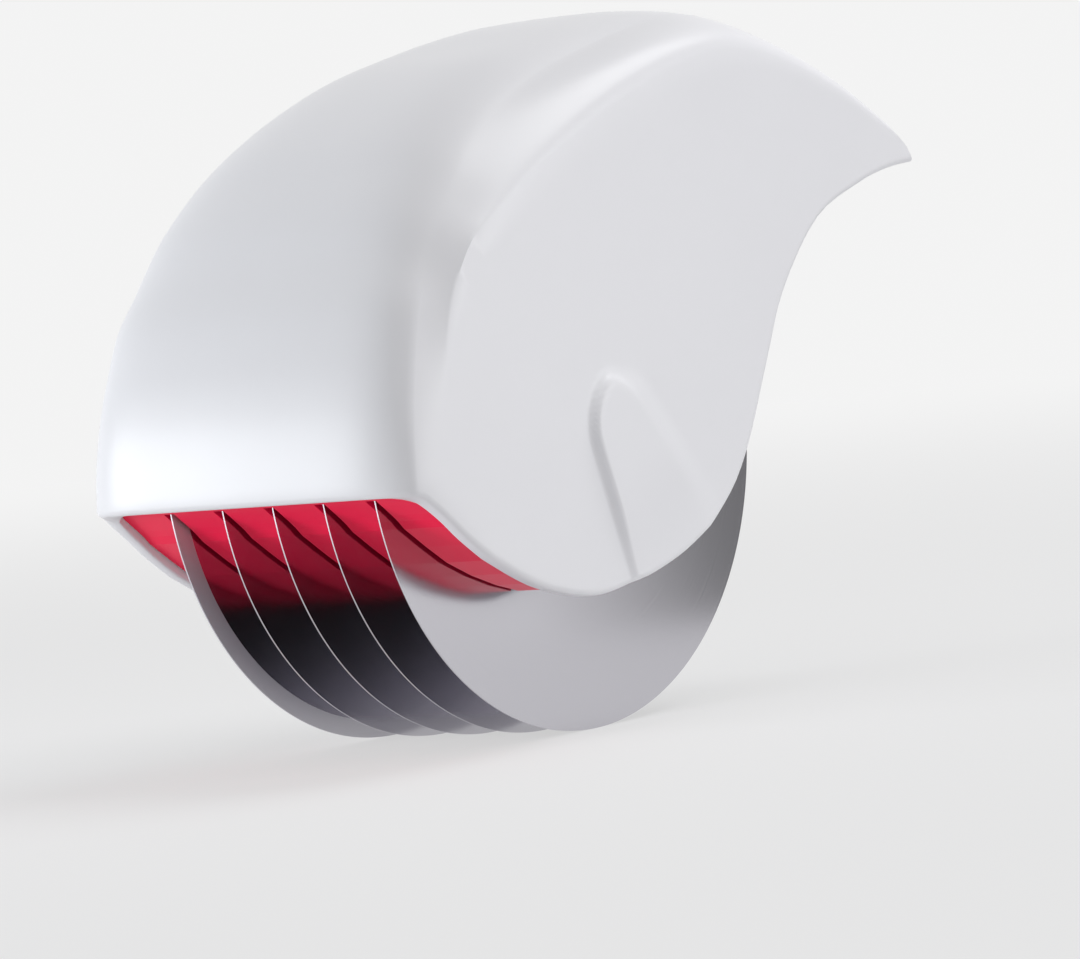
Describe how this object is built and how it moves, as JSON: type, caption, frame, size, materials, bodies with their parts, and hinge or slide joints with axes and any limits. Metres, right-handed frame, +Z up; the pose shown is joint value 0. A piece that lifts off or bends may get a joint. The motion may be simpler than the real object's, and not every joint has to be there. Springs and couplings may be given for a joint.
{
  "type": "rolling herb cutter",
  "caption": "Rolling herb cutter: round steel blades on one axle under a smooth white palm hood, with a red comb that strips cut herbs from between the blades.",
  "frame": {"origin": "centre of the bounding box's footprint, on the board that the blades stand on", "axes": "+X along the blade axle towards the right cheek, +Y from the front face to the beak, +Z up from the board"},
  "size_m": [0.0596, 0.1176, 0.0955],
  "materials": {
    "white_shell": "glossy white moulded plastic",
    "red_insert": "glossy red moulded plastic",
    "bearing_plastic": "natural bearing plastic",
    "polished_steel": "polished stainless steel"
  },
  "bodies": {
    "housing": {"hood_shell": "white_shell", "stripper_comb": "red_insert"},
    "carrier": {"bearing_bush_left": "bearing_plastic", "bearing_bush_right": "bearing_plastic"},
    "blade_pack": {"axle": "bearing_plastic", "disc_blade_1": "polished_steel", "disc_blade_2": "polished_steel", "disc_blade_3": "polished_steel", "disc_blade_4": "polished_steel", "disc_blade_5": "polished_steel", "spacer_1": "bearing_plastic", "spacer_2": "bearing_plastic", "spacer_3": "bearing_plastic", "spacer_4": "bearing_plastic", "end_collar_left": "bearing_plastic", "end_collar_right": "bearing_plastic", "push_ring_left": "polished_steel", "push_ring_right": "polished_steel"}
  },
  "joints": [
    {"name": "blade_unit_release", "type": "slide", "parent": "housing", "child": "carrier", "axis": [0, 0.4462, -0.8949], "range_m": [0, 0.026]},
    {"name": "blade_spin", "type": "hinge", "parent": "carrier", "child": "blade_pack", "pos_m": [0, -0.01303, 0.04], "axis": [1, 0, 0], "continuous": true}
  ]
}
